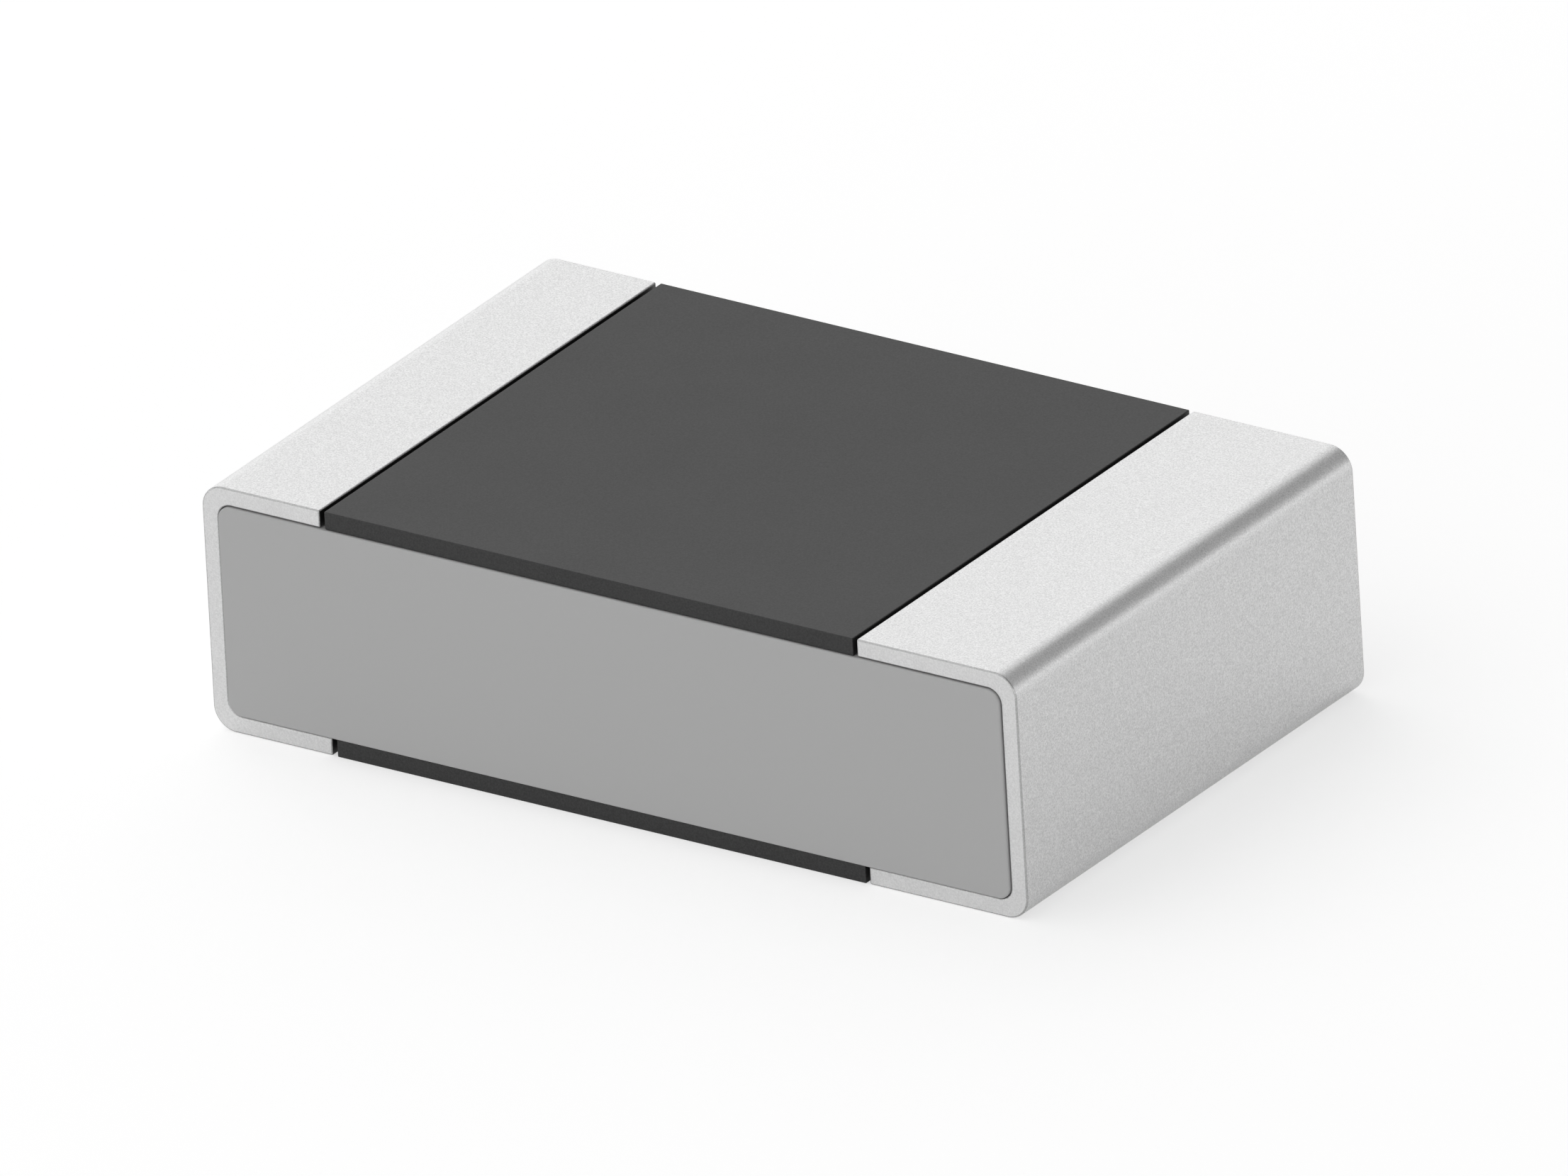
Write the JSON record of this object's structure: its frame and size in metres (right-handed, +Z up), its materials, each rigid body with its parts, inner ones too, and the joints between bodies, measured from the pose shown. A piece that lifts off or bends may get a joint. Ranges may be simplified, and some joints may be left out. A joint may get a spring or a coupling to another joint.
{
  "type": "chip resistor",
  "caption": "Small rectangular ceramic block with a folded metal terminal round each end and a dark coat above and below, soldered flat on a circuit board as a resistor.",
  "frame": {"origin": "middle of the underside, on the plane of the lower flanges", "axes": "+X along the length towards the terminal with the longer flanges, +Y across the width towards the back, +Z up, away from the board"},
  "size_m": [0.002, 0.0012, 0.0006],
  "materials": {
    "fired_alumina": "matte",
    "matte_tin": "satin",
    "dark_overcoat": "matte",
    "silver_print": "matte",
    "resistor_print": "satin",
    "glass_glaze": "gloss"
  },
  "bodies": {
    "root": {"ceramic_substrate": "fired_alumina", "left_terminal": "matte_tin", "right_terminal": "matte_tin", "top_coat": "dark_overcoat", "bottom_coat": "dark_overcoat", "resistive_film": "resistor_print", "glass_glaze": "glass_glaze", "left_upper_contact": "silver_print", "right_upper_contact": "silver_print", "left_lower_contact": "silver_print", "right_lower_contact": "silver_print"}
  },
  "joints": []
}
